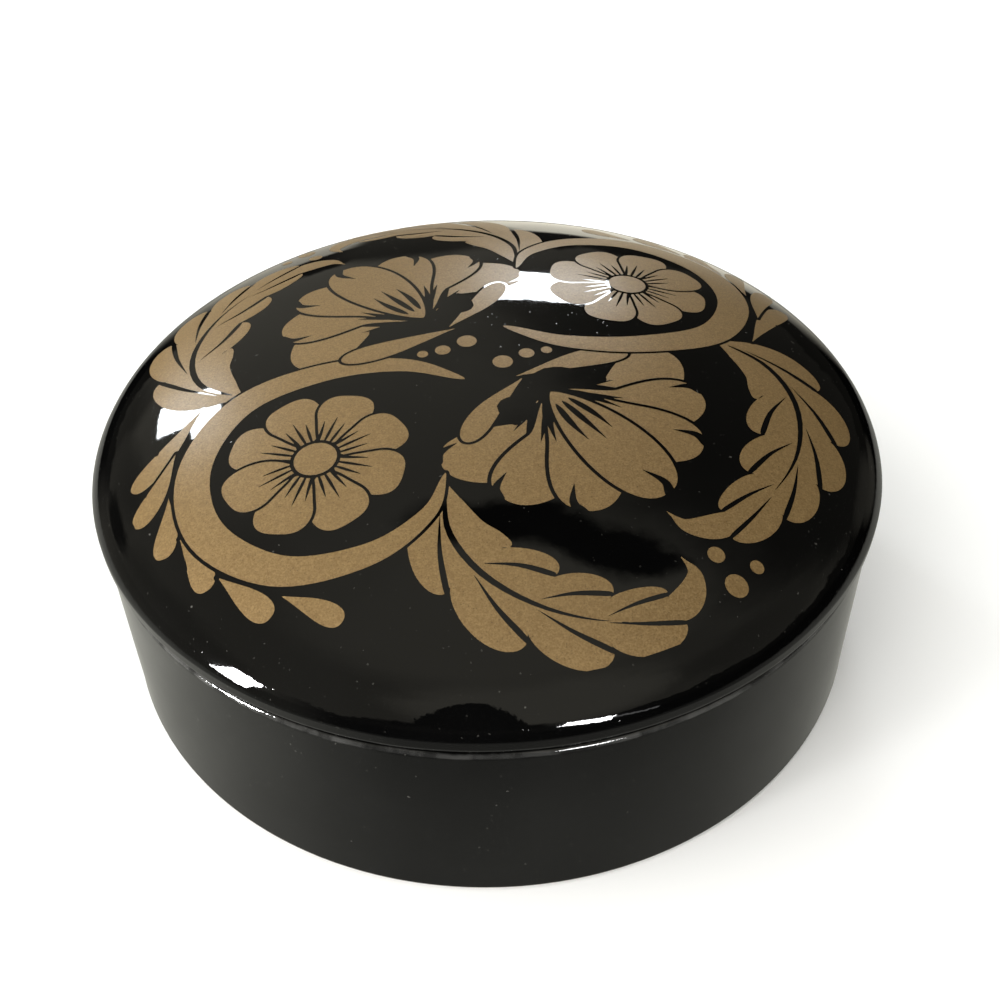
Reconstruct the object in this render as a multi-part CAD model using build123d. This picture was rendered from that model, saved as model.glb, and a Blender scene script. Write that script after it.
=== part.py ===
from build123d import *
import math
import os

# Round ceramic trinket box: a low straight-walled dish and a domed lid that
# lifts off. Millimetres, +Z up, origin at the middle of the underside.

# ---- driving dimensions ---------------------------------------------------
LID_D = 108.0            # widest diameter, at the lid's lip
SEAT_Z = 28.1            # height of the dish's rim, where the lid sits
BODY_R_TOP = 53.52       # outer wall just under the rim
BODY_R_FOOT = 53.84      # outer wall at the table, a trace wider
WALL = 4.0               # dish wall thickness
FLOOR_TOP = 4.6          # height of the dish's floor inside
FLOOR_FILLET = 5.0       # inside corner between floor and wall
RIM_ROUND_OUT = 1.1      # rounded outer edge of the rim
RIM_ROUND_IN = 0.8       # rounded inner edge of the rim
FOOT_ROUND = 0.9         # outer bottom edge
FOOT_R_IN = 46.6         # inner edge of the flat foot ring
RECESS_H = 1.2           # shallow recess inside the foot ring
LIP_TOP = 30.0           # top of the lid's upright lip
LIP_ROUND = 0.35         # lower outer edge of the lip
SHELL = 4.0              # thickness of the lid's dome
FLANGE_R_OUT = 48.9      # locating ring under the lid, clear of the wall
FLANGE_R_IN = 45.8
FLANGE_BOTTOM = 24.5
FLANGE_DRAFT = 0.15      # the ring narrows towards its end
INNER_TURN = 74.0        # normal angle where the inside leaves the dome

# Radius of curvature of the lid's outer surface against the elevation of its
# normal: a tight edge at the lip, a shoulder, then a shallow crown.
EDGE_R = 0.5             # tight edge above the lip
EDGE_TO = 12.0           # it turns the surface this far
CURVE_DEG = [12.0, 25.0, 35.0, 48.0, 62.0, 76.0, 90.0]
CURVE_RHO = [2.2, 7.5, 9.0, 9.0, 18.0, 100.0]   # the last one is solved
SPLIT_DEG = 62.0         # where the shoulder's curve hands over to the crown's


def rho_at(deg, crown):
    """Radius of curvature at a normal elevation, interpolated on a log scale."""
    if deg < EDGE_TO:
        return EDGE_R
    rho = CURVE_RHO + [crown]
    for i in range(len(CURVE_DEG) - 1):
        lo, hi = CURVE_DEG[i], CURVE_DEG[i + 1]
        if deg <= hi:
            t = (deg - lo) / (hi - lo)
            return math.exp(math.log(rho[i]) * (1 - t) + math.log(rho[i + 1]) * t)
    return crown


def dome(crown, steps=1800):
    """The outer curve as (length, normal elevation, r, z), from the lip to the middle."""
    r, z, s = LID_D / 2, LIP_TOP, 0.0
    out = [(0.0, 0.0, r, z)]
    for i in range(steps):
        mid = (i + 0.5) * 90.0 / steps
        ds = rho_at(mid, crown) * math.radians(90.0 / steps)
        s += ds
        r -= ds * math.sin(math.radians(mid))
        z += ds * math.cos(math.radians(mid))
        out.append((s, (i + 1) * 90.0 / steps, r, z))
    return out


def solve_crown():
    """The crown radius at which the curve ends on the axis."""
    lo, hi = 20.0, 4000.0
    for _ in range(60):
        mid = math.sqrt(lo * hi)
        if dome(mid)[-1][2] > 0:
            lo = mid
        else:
            hi = mid
    return math.sqrt(lo * hi)


CROWN = solve_crown()
CURVE = dome(CROWN)
TOP_Z = CURVE[-1][3]


def at_angle(deg):
    return CURVE[round(deg * 20)]


def at_length(s):
    """(normal elevation, r, z) at a length along the outer curve."""
    for a, b in zip(CURVE, CURVE[1:]):
        if s <= b[0]:
            t = (s - a[0]) / (b[0] - a[0])
            return tuple(a[k] * (1 - t) + b[k] * t for k in (1, 2, 3))
    return CURVE[-1][1:]


def curve_piece(deg0, deg1, count, offset=0.0):
    """A smooth piece of the dome between two normal angles, moved inwards by offset."""
    s0, s1 = at_angle(deg0)[0], at_angle(deg1)[0]
    pts = []
    for i in range(count):
        b, r, z = at_length(s0 + (s1 - s0) * i / (count - 1))
        if i in (0, count - 1):
            _, b, r, z = at_angle(deg0 if i == 0 else deg1)
        a = math.radians(b)
        r, z = r - offset * math.cos(a), z - offset * math.sin(a)
        if b == 90.0:
            r = 0.0
        pts.append(v(r, z))
    way = 1 if deg1 > deg0 else -1
    ends = [Vector(-way * math.sin(math.radians(d)), 0, way * math.cos(math.radians(d))) for d in (deg0, deg1)]
    return Spline(*pts, tangents=ends)


def v(r, z):
    return Vector(r, 0, z)


def lathe(edges):
    """Turns a closed profile in the XZ plane about Z."""
    return revolve(Face(Wire(edges)), Axis.Z, 360)


def arc(centre, radius, a0, a1):
    """Arc in the XZ plane, angles in degrees from +X towards +Z."""
    cx, cz = centre
    am = (a0 + a1) / 2
    p = [v(cx + radius * math.cos(math.radians(a)), cz + radius * math.sin(math.radians(a))) for a in (a0, am, a1)]
    return ThreePointArc(*p)


def join(start, pieces):
    """Closes the gaps between successive pieces with straight lines."""
    edges, at = [], start
    for p in pieces:
        if isinstance(p, Vector):
            edges.append(Line(at, p))
            at = p
            continue
        first = p @ 0
        if (first - at).length > 1e-6:
            edges.append(Line(at, first))
        edges.append(p)
        at = p @ 1
    if (at - start).length > 1e-6:
        edges.append(Line(at, start))
    return edges


# ---- dish -----------------------------------------------------------------
def make_body():
    # the wall leans by a fraction of a degree, so its round ends are tangent arcs
    lean = math.degrees(math.atan2(BODY_R_FOOT - BODY_R_TOP, SEAT_Z))
    c_foot = (BODY_R_FOOT - FOOT_ROUND, FOOT_ROUND)
    c_rim = (BODY_R_TOP - RIM_ROUND_OUT, SEAT_Z - RIM_ROUND_OUT)
    r_in = BODY_R_TOP - WALL
    r_in_foot = r_in - 0.3
    c_in = (r_in + RIM_ROUND_IN, SEAT_Z - RIM_ROUND_IN)
    c_floor = (r_in_foot - FLOOR_FILLET, FLOOR_TOP + FLOOR_FILLET)
    start = v(0, RECESS_H)
    recess_r = FOOT_R_IN - 1.6
    pieces = [
        arc((recess_r, RECESS_H - 0.8), 0.8, 90, 35),
        arc((FOOT_R_IN, 0.8), 0.8, 215, 270),
        arc(c_foot, FOOT_ROUND, -90, lean),
        arc(c_rim, RIM_ROUND_OUT, lean, 90),
        arc(c_in, RIM_ROUND_IN, 90, 180),
        arc(c_floor, FLOOR_FILLET, 0, -90),
        v(0, FLOOR_TOP),
    ]
    return lathe(join(start, pieces))


# ---- lid ------------------------------------------------------------------
def make_lid():
    R = LID_D / 2
    edge = arc((R - EDGE_R, LIP_TOP), EDGE_R, 0, EDGE_TO)
    shoulder = curve_piece(EDGE_TO, SPLIT_DEG, 16)
    crown = curve_piece(SPLIT_DEG, 90.0, 20)
    inner = curve_piece(90.0, INNER_TURN, 14, SHELL)
    ta = math.radians(INNER_TURN)
    _, _, rt, zt = at_angle(INNER_TURN)
    rt, zt = rt - SHELL * math.cos(ta), zt - SHELL * math.sin(ta)
    turn = (FLANGE_R_IN - rt) / (1 - math.cos(ta))
    turn_c = (FLANGE_R_IN - turn, zt - turn * math.sin(ta))
    r_end_in, r_end_out = FLANGE_R_IN + FLANGE_DRAFT, FLANGE_R_OUT - FLANGE_DRAFT
    er = 1.0
    start = v(R, SEAT_Z + LIP_ROUND)
    pieces = [
        edge,
        shoulder,
        crown,
        inner,
        arc(turn_c, turn, INNER_TURN, 0),
        arc((r_end_in + er, FLANGE_BOTTOM + er), er, 180, 270),
        arc((r_end_out - er, FLANGE_BOTTOM + er), er, 270, 360),
        arc((FLANGE_R_OUT + 0.4, SEAT_Z - 0.4), 0.4, 180, 90),
        arc((R - LIP_ROUND, SEAT_Z + LIP_ROUND), LIP_ROUND, -90, 0),
    ]
    return lathe(join(start, pieces))


def main():
    os.makedirs("parts", exist_ok=True)
    nodes = {"box_body": make_body(), "lid": make_lid()}
    for name, shape in nodes.items():
        solids = shape.solids()
        assert len(solids) == 1 and solids[0].is_valid, name
        export_step(solids[0], f"parts/{name}.step")
        box = solids[0].bounding_box()
        print(name, f"{solids[0].volume / 1000:.2f} cm3", f"z {box.min.Z:.3f} to {box.max.Z:.3f}", f"r {box.max.X:.3f}")
    print(f"crown radius {CROWN:.1f}, total height {TOP_Z:.2f}")
    for d in (10, 20, 30, 40, 50, 60, 70, 80):
        _, b, r, z = at_angle(d)
        print(f"  normal {d} deg: r {r:.2f} z {z:.2f}")


main()
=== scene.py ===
import math

import bpy
import numpy as np
from mathutils import Matrix, Vector
from mathutils.geometry import delaunay_2d_cdt


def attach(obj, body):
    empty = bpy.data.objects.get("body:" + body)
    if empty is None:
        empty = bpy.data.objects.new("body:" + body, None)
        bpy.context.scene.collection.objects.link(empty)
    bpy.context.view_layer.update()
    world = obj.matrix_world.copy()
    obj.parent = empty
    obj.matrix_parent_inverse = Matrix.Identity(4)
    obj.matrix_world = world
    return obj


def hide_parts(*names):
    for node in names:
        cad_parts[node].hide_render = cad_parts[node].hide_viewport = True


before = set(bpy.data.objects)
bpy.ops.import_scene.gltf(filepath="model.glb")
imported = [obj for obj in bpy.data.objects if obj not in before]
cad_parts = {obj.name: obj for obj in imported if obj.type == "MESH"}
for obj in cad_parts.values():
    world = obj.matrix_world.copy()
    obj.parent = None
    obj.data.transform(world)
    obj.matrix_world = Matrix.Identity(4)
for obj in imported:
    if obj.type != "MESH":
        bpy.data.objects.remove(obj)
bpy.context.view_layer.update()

MM = 0.001
scene = bpy.context.scene
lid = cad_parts["lid"]
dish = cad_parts["box_body"]

# ---- the lid's outer curve, in mm, as the frame has it ------------------------
LID_R = 54.0
LIP_TOP = 30.0
EDGE_R, EDGE_TO = 0.5, 12.0
CURVE_DEG = [12.0, 25.0, 35.0, 48.0, 62.0, 76.0, 90.0]
CURVE_RHO = [2.2, 7.5, 9.0, 9.0, 18.0, 100.0]


def rho_at(deg, crown):
    if deg < EDGE_TO:
        return EDGE_R
    rho = CURVE_RHO + [crown]
    for i in range(len(CURVE_DEG) - 1):
        lo, hi = CURVE_DEG[i], CURVE_DEG[i + 1]
        if deg <= hi:
            t = (deg - lo) / (hi - lo)
            return math.exp(math.log(rho[i]) * (1 - t) + math.log(rho[i + 1]) * t)
    return crown


def dome(crown, steps=1800):
    """Rows of (normal elevation in degrees, r, z), from the lip to the middle."""
    r, z = LID_R, LIP_TOP
    out = [(0.0, r, z)]
    for i in range(steps):
        mid = (i + 0.5) * 90.0 / steps
        ds = rho_at(mid, crown) * math.radians(90.0 / steps)
        r -= ds * math.sin(math.radians(mid))
        z += ds * math.cos(math.radians(mid))
        out.append(((i + 1) * 90.0 / steps, r, z))
    return out


def solve_crown():
    lo, hi = 20.0, 4000.0
    for _ in range(60):
        mid = math.sqrt(lo * hi)
        if dome(mid)[-1][1] > 0:
            lo = mid
        else:
            hi = mid
    return math.sqrt(lo * hi)


CURVE = np.array(dome(solve_crown()))[::-1]


def dome_at(x, y):
    """Points and outward normals of the dome over plan points, in mm."""
    r = np.hypot(x, y)
    z = np.interp(r, CURVE[:, 1], CURVE[:, 2])
    b = np.radians(np.interp(r, CURVE[:, 1], CURVE[:, 0]))
    q = np.cos(b) / np.maximum(r, 1e-6)
    n = np.stack([x * q, y * q, np.sin(b)], 1)
    return np.stack([x, y, z], 1), n / np.linalg.norm(n, axis=1)[:, None]


# ---- glazed shells, turned about Z ---------------------------------------------
# Slow unevenness of a cast and glazed surface: waves in 3-D, always inwards, in mm.
rng = np.random.default_rng(11)
WAVES = []
for length, height, count in ((52.0, 0.010, 4), (21.0, 0.0038, 5), (9.5, 0.0011, 6)):
    for _ in range(count):
        k = rng.normal(size=3)
        k *= 2 * math.pi / (length * rng.uniform(0.8, 1.25)) / np.linalg.norm(k)
        WAVES.append((k, height * rng.uniform(0.7, 1.2), rng.uniform(0, 2 * math.pi)))
DEEP = sum(w[1] for w in WAVES)


def uneven(p, n, share=1.0):
    """Moves points of a surface along their normals by the waves, and turns the normals with them."""
    h = np.zeros(len(p))
    g = np.zeros_like(p)
    for k, a, ph in WAVES:
        t = p @ k + ph
        h += a * np.sin(t)
        g += (a * np.cos(t))[:, None] * k
    share = np.asarray(share, float) * np.ones(len(p))
    g *= share[:, None]
    g -= np.sum(g * n, 1)[:, None] * n
    out = n - g
    return p + n * ((h - DEEP) * share)[:, None], out / np.linalg.norm(out, axis=1)[:, None]


def on_dome(x, y):
    """Points and normals of the lid's glazed top over plan points."""
    p, n = dome_at(x, y)
    return uneven(p, n)


def run(a, b, step=5.0, normal=None):
    """A straight piece of profile with its one normal, which lies to the right of the way it runs."""
    (r0, z0), (r1, z1) = a, b
    L = math.hypot(r1 - r0, z1 - z0)
    n = max(1, int(math.ceil(L / step)))
    m = normal or ((z1 - z0) / L, (r0 - r1) / L)
    return [(r0 + (r1 - r0) * i / n, z0 + (z1 - z0) * i / n, m[0], m[1]) for i in range(n + 1)]


def bend(centre, radius, a0, a1, hollow=False, step=6.0):
    """A rounded piece of profile, angles in degrees from +r towards +z."""
    n = max(2, int(math.ceil(abs(a1 - a0) / step)))
    s = -1.0 if hollow else 1.0
    out = []
    for i in range(n + 1):
        a = math.radians(a0 + (a1 - a0) * i / n)
        out.append((centre[0] + radius * math.cos(a), centre[1] + radius * math.sin(a), s * math.cos(a), s * math.sin(a)))
    return out


def dome_run(b0, b1, offset=0.0, inside=False, gap=1.0, turn=2.5):
    """A piece of the dome's curve between two normal angles, close enough together for a clean reflection."""
    rows = CURVE if b0 > b1 else CURVE[::-1]
    rows = rows[(rows[:, 0] <= max(b0, b1) + 1e-9) & (rows[:, 0] >= min(b0, b1) - 1e-9)]
    out, last = [], None
    for k, (b, r, z) in enumerate(rows):
        if last is not None and k < len(rows) - 1 and math.hypot(r - last[1], z - last[2]) < gap and abs(b - last[0]) < turn:
            continue
        last = (b, r, z)
        a = math.radians(b)
        s = -1.0 if inside else 1.0
        out.append((max(r - offset * math.cos(a), 0.0) if b < 90 else 0.0, z - offset * math.sin(a), s * math.cos(a), s * math.sin(a)))
    return out


def lathe(name, pieces, spokes=640, shift=None):
    """Turns profile pieces, given as (points, share of the waves), into a closed mesh that is shaded
    by the profile's own normals. The profile runs from the axis out and back, solid on its left."""
    rings, share, strips = [], [], []
    for pts, part in pieces:
        for i, (r, z, nr, nz) in enumerate(pts):
            if i == 0 and rings and math.hypot(rings[-1][0] - r, rings[-1][1] - z) < 1e-6:
                share[-1] = min(share[-1], part)
            else:
                rings.append((r, z))
                share.append(part)
                if i == 0 and len(rings) > 1:
                    (r0, z0), (r1, z1) = rings[-2:]
                    L = math.hypot(r1 - r0, z1 - z0)
                    m = ((z1 - z0) / L, (r0 - r1) / L)
                    strips.append((len(rings) - 2, m, m))
            if i:
                strips.append((len(rings) - 2, pts[i - 1][2:], (nr, nz)))
    own = np.zeros((len(rings), 2))
    for i, a, b in strips:
        own[i] += a
        own[i + 1] += b
    own /= np.maximum(np.linalg.norm(own, axis=1), 1e-9)[:, None]
    th = 2 * math.pi * np.arange(spokes) / spokes
    ct, st = np.cos(th), np.sin(th)

    def ring(i, m):
        r, z = rings[i]
        zz = np.full(spokes, z) + (shift(r, z, th) if shift else 0.0)
        return uneven(np.stack([r * ct, r * st, zz], 1), np.stack([m[0] * ct, m[0] * st, np.full(spokes, m[1])], 1), share[i])

    verts, start = [], []
    for i, (r, z) in enumerate(rings):
        start.append(len(verts))
        verts += ring(i, own[i])[0][:1 if r < 1e-6 else None].tolist()
    faces, loops = [], []
    for i, a, b in strips:
        na, nb = ring(i, a)[1], ring(i + 1, b)[1]
        one, two = rings[i][0] < 1e-6, rings[i + 1][0] < 1e-6
        for k in range(spokes):
            q = (k + 1) % spokes
            if one:
                faces.append((start[i], start[i + 1] + q, start[i + 1] + k))
                loops += [na[k], nb[q], nb[k]]
            elif two:
                faces.append((start[i] + k, start[i] + q, start[i + 1]))
                loops += [na[k], na[q], nb[k]]
            else:
                faces.append((start[i] + k, start[i] + q, start[i + 1] + q, start[i + 1] + k))
                loops += [na[k], na[q], nb[q], nb[k]]
    me = bpy.data.meshes.new(name)
    me.from_pydata([tuple(c * MM for c in v) for v in verts], [], faces)
    me.update()
    me.polygons.foreach_set("use_smooth", [True] * len(me.polygons))
    me.normals_split_custom_set([tuple(v) for v in loops])
    ob = bpy.data.objects.new(name, me)
    scene.collection.objects.link(ob)
    return ob


LIP_LOW, LIP_R = 28.26, 0.7


def rim_shift(r, z, th):
    """The dish's rim isn't quite level either."""
    if r > 51.6 and z > RIM_LOW:
        dip = 0.02 + 0.02 * np.cos(th - math.radians(225)) + 0.014 * np.sin(7 * th + 1.3) + 0.010 * np.sin(19 * th + 0.4) + 0.006 * np.sin(53 * th)
        return -np.maximum(dip, 0.0) * min(1.0, (z - RIM_LOW) / 0.9)
    return 0.0


def seam_shift(r, z, th):
    """The lip's lower edge isn't quite level."""
    if r > 51.5 and 28.2 < z < LIP_LOW + LIP_R:
        gap = 0.045 + 0.020 * np.cos(th - math.radians(235)) + 0.012 * np.sin(5 * th + 0.8) + 0.009 * np.sin(13 * th + 2.1)
        gap += 0.007 * np.sin(29 * th + 0.3) + 0.005 * np.sin(67 * th)
        return (gap - (LIP_LOW - 28.1)) * min(1.0, (LIP_LOW + LIP_R - z) / (LIP_R - 0.02))
    return 0.0


ti = math.radians(74.0)
row = CURVE[np.argmin(np.abs(CURVE[:, 0] - 74.0))]
rt, zt = row[1] - 4.0 * math.cos(ti), row[2] - 4.0 * math.sin(ti)
turn_r = (45.8 - rt) / (1 - math.cos(ti))
turn_c = (45.8 - turn_r, zt - turn_r * math.sin(ti))
lid_profile = [
    (dome_run(90.0, 74.0, offset=4.0, inside=True, gap=1.6), 0.6),
    (bend(turn_c, turn_r, 74, 0, hollow=True, step=3.0), 0.6),
    (run((45.8, turn_c[1]), (45.95, 25.5), 1.2), 0.0),
    (bend((46.95, 25.5), 1.0, 180, 270, step=9), 0.0),
    (run((46.95, 24.5), (47.75, 24.5), 1.0, (0.0, -1.0)), 0.0),
    (bend((47.75, 25.5), 1.0, -90, 0, step=9), 0.0),
    (run((48.75, 25.5), (48.9, 27.7), 1.2), 0.0),
    (bend((49.3, 27.7), 0.4, 180, 90, hollow=True, step=15), 0.0),
    (run((49.3, 28.1), (51.3, 28.1), 2.0, (0.0, -1.0)), 0.0),
    (run((51.3, 28.1), (51.7, LIP_LOW), 1.0), 0.0),
    (run((51.7, LIP_LOW), (54.0 - LIP_R, LIP_LOW), 1.0, (0.0, -1.0)), 0.3),
    (bend((54.0 - LIP_R, LIP_LOW + LIP_R), LIP_R, -90, 0, step=6), 1.0),
    (run((54.0, LIP_LOW + LIP_R), (54.0, 30.0), 0.6, (1.0, 0.0)), 1.0),
    (dome_run(0.0, 90.0), 1.0),
]

lean = math.degrees(math.atan2(53.84 - 53.52, 28.1))
la = math.radians(lean)
u35 = (math.cos(math.radians(35)), math.sin(math.radians(35)))
RIM_R = 1.4
rim_c = (52.12, 26.32)
RIM_LOW = 26.6
slope = math.radians(42.0)
rim_end = (rim_c[0] + RIM_R * math.cos(slope), rim_c[1] + RIM_R * math.sin(slope))
seat_end = (51.5, 28.1)
foot_c = (53.84 - 0.9, 0.9)
dish_profile = [
    (run((0.0, 1.2), (45.0, 1.2), 5.0, (0.0, -1.0)), 0.5),
    (bend((45.0, 0.4), 0.8, 90, 35, hollow=True, step=9), 0.5),
    (run((45.0 + 0.8 * u35[0], 0.4 + 0.8 * u35[1]), (46.6 - 0.8 * u35[0], 0.8 - 0.8 * u35[1]), 1.0), 0.5),
    (bend((46.6, 0.8), 0.8, 215, 270, step=9), 0.0),
    (run((46.6, 0.0), (foot_c[0], 0.0), 1.1, (0.0, -1.0)), 0.0),
    (bend(foot_c, 0.9, -90, lean, step=6), 0.0),
    (run((foot_c[0] + 0.9 * math.cos(la), foot_c[1] + 0.9 * math.sin(la)),
         (rim_c[0] + RIM_R * math.cos(la), rim_c[1] + RIM_R * math.sin(la)), 0.8, (math.cos(la), math.sin(la))), 1.0),
    (bend(rim_c, RIM_R, lean, 42, step=4), 1.0),
    (run(rim_end, seat_end, 0.5), 0.5),
    (run(seat_end, (50.32, 28.1), 1.0, (0.0, 1.0)), 0.0),
    (bend((50.32, 27.3), 0.8, 90, 180, step=7.5), 0.0),
    (run((49.52, 27.3), (49.22, 9.6), 1.5), 0.6),
    (bend((44.22, 9.6), 5.0, 0, -90, hollow=True, step=4), 0.6),
    (run((44.22, 4.6), (0.0, 4.6), 2.0, (0.0, 1.0)), 0.6),
]


# ---- the two glazed pieces ------------------------------------------------------
lid_shell = lathe("lid_shell", lid_profile[:], shift=seam_shift)
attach(lid_shell, "lid")
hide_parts("lid")
dish_shell = lathe("dish_shell", dish_profile, shift=rim_shift)
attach(dish_shell, "dish")
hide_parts("box_body")


# ---- the printed ornament, drawn as a distance field over the plan -------------
STEP = 0.1
HALF = 51.0
NG = int(round(2 * HALF / STEP)) + 1
AX = np.linspace(-HALF, HALF, NG)
GAP = 0.42


class Print:
    """A printed ornament as a signed distance in mm over the lid's plan, above 0 where there is gold."""

    def __init__(self):
        self.f = np.full((NG, NG), -9.0)

    def span(self, lo, hi):
        i = max(int((lo + HALF) / STEP), 0)
        j = min(int((hi + HALF) / STEP) + 2, NG)
        return slice(i, max(j, i))

    def polygon(self, pts, reach):
        x0, y0 = pts.min(0) - reach
        x1, y1 = pts.max(0) + reach
        win = (self.span(y0, y1), self.span(x0, x1))
        X = AX[win[1]][None, :]
        Y = AX[win[0]][:, None]
        d2 = np.full((Y.shape[0], X.shape[1]), 1e9)
        inside = np.zeros(d2.shape, bool)
        n = len(pts)
        for k in range(n):
            ax, ay = pts[k]
            bx, by = pts[(k + 1) % n]
            ex, ey = bx - ax, by - ay
            L = ex * ex + ey * ey
            if L < 1e-12:
                continue
            t = np.clip(((X - ax) * ex + (Y - ay) * ey) / L, 0, 1)
            dx = X - ax - t * ex
            dy = Y - ay - t * ey
            np.minimum(d2, dx * dx + dy * dy, out=d2)
            if ay != by:
                hit = ((ay > Y) != (by > Y)) & (X < (bx - ax) * (Y - ay) / (by - ay) + ax)
                inside ^= hit
        d = np.sqrt(d2)
        return win, np.where(inside, d, -d)

    def add(self, pts, gap=GAP):
        win, g = self.polygon(pts, gap + 0.3)
        cur = self.f[win]
        if gap > 0:
            cur = np.minimum(cur, -(g + gap))
        self.f[win] = np.maximum(cur, g)

    def cut(self, pts):
        win, g = self.polygon(pts, 0.3)
        self.f[win] = np.minimum(self.f[win], -g)

    def within(self, r):
        self.f = np.minimum(self.f, r - np.hypot(AX[None, :], AX[:, None]))


def curve(ctrl, n=28):
    """A smooth line through the control points, evenly sampled."""
    P = np.array(ctrl, float)
    if len(P) == 2:
        t = np.linspace(0, 1, n)[:, None]
        return P[0] * (1 - t) + P[1] * t
    E = np.vstack([2 * P[0] - P[1], P, 2 * P[-1] - P[-2]])
    out = []
    for i in range(1, len(E) - 2):
        p0, p1, p2, p3 = E[i - 1:i + 3]
        for t in np.linspace(0, 1, 16, endpoint=False):
            out.append(0.5 * (2 * p1 + (p2 - p0) * t + (2 * p0 - 5 * p1 + 4 * p2 - p3) * t * t
                              + (3 * p1 - p0 - 3 * p2 + p3) * t ** 3))
    out.append(P[-1])
    out = np.array(out)
    s = np.r_[0, np.cumsum(np.hypot(*np.diff(out, axis=0).T))]
    q = np.linspace(0, s[-1], n)
    return np.stack([np.interp(q, s, out[:, 0]), np.interp(q, s, out[:, 1])], 1)


def normals(line):
    d = np.gradient(line, axis=0)
    d /= np.maximum(np.hypot(d[:, 0], d[:, 1]), 1e-9)[:, None]
    return np.stack([-d[:, 1], d[:, 0]], 1), d


def swell(t, a, b):
    """Width along a blade: 0 at both ends, 1 at its widest. A small a or b makes that end blunt."""
    m = a / (a + b)
    return (np.clip(t, 0, 1) / m) ** a * (np.clip(1 - t, 0, 1) / (1 - m)) ** b


def blade(ctrl, width, a=0.5, b=0.9, skew=0.0, n=28):
    """A leaf, petal or brush stroke about a line. skew moves its fullness to the left side."""
    line = curve(ctrl, n)
    # finer steps at the ends, where the outline turns
    u = 0.5 - 0.5 * np.cos(np.linspace(0, math.pi, n))
    k = np.linspace(0, 1, n)
    line = np.stack([np.interp(u, k, line[:, 0]), np.interp(u, k, line[:, 1])], 1)
    nn, _ = normals(line)
    w = width / 2 * swell(u, a, b)
    return np.vstack([line + nn * (w * (1 + skew))[:, None], (line - nn * (w * (1 - skew))[:, None])[::-1]])


def oval(c, rx, ry=None, ang=0.0, n=22):
    ry = ry or rx
    t = np.linspace(0, 2 * math.pi, n, endpoint=False)
    x, y = rx * np.cos(t), ry * np.sin(t)
    a = math.radians(ang)
    return np.stack([c[0] + x * math.cos(a) - y * math.sin(a), c[1] + x * math.sin(a) + y * math.cos(a)], 1)


class Place:
    """Draws in a frame of its own: moved, turned, scaled, and mirrored if flip."""

    def __init__(self, pr, at=(0, 0), ang=0.0, s=1.0, flip=False):
        self.pr, self.at, self.s, self.flip = pr, np.array(at, float), s, flip
        a = math.radians(ang)
        self.M = np.array([[math.cos(a), -math.sin(a)], [math.sin(a), math.cos(a)]])

    def map(self, pts):
        p = np.array(pts, float) * self.s
        if self.flip:
            p = p * [-1, 1]
        return p @ self.M.T + self.at

    def add(self, pts, gap=GAP):
        self.pr.add(self.map(pts), gap)

    def cut(self, pts):
        self.pr.cut(self.map(pts))


def comma(pl, head, via, tail, width, gap=GAP, blunt=0.42, taper=1.35):
    pl.add(blade([head, via, tail], width, blunt, taper), gap)


def petal_fan(pl, count, spread, length, width, inner=0.0, tipnotch=True, gap=GAP, bow=0.12, slits=3, a=0.75, b=0.42, order='out'):
    """Petals that spring from the origin towards +Y, the middle one in front."""
    angs = np.linspace(-spread, spread, count)
    idx = sorted(range(count), key=lambda i: -abs(angs[i]))
    for i in idx:
        g = math.radians(angs[i])
        L = length * (1 - 0.16 * abs(angs[i]) / max(spread, 1))
        d = np.array([math.sin(g), math.cos(g)])
        n = np.array([d[1], -d[0]]) * (1 if angs[i] >= 0 else -1)
        p0 = d * inner
        p1 = d * (inner + L * 0.5) - n * L * bow * (abs(angs[i]) / max(spread, 1))
        p2 = d * (inner + L) + n * L * bow * 1.3 * (abs(angs[i]) / max(spread, 1))
        pl.add(blade([p0, p1, p2], width, a, b), gap)
        if tipnotch:
            tip = p2
            pl.cut(blade([tip + d * 0.5, tip - d * L * 0.07 + n * 0.05 * L, tip - d * L * 0.22], width * 0.13, 0.25, 1.2))
        if slits:
            for k in range(slits):
                off = (k - (slits - 1) / 2) / max(slits - 1, 1)
                q0 = p0 + d * L * 0.10 + np.array([d[1], -d[0]]) * width * 0.22 * off
                q1 = p0 + d * L * (0.42 + 0.10 * (1 - abs(off))) + np.array([d[1], -d[0]]) * width * 0.42 * off
                pl.cut(blade([q0, (q0 + q1) / 2 + np.array([d[1], -d[0]]) * width * 0.06 * off, q1], 0.5 + 0.02 * L, 0.7, 1.4))


def rosette(pl, n, r0, r1, width, disc, gap=GAP, phase=0.0, slit=True):
    for k in range(n):
        a = math.radians(phase + 360.0 * k / n)
        d = np.array([math.cos(a), math.sin(a)])
        m = np.array([-d[1], d[0]])
        pl.add(blade([d * r0, d * (r0 + r1) / 2 + m * width * 0.10, d * r1 + m * width * 0.02], width, 0.8, 0.36), gap * 0.8)
        if slit:
            for s in (-1, 0, 1):
                pl.cut(blade([d * (r0 + 0.3) + m * s * 0.10 * width, d * (r0 + (r1 - r0) * (0.62 - 0.12 * abs(s))) + m * s * 0.20 * width], 0.42, 0.6, 1.3))
    pl.add(oval((0, 0), disc), gap)


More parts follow.
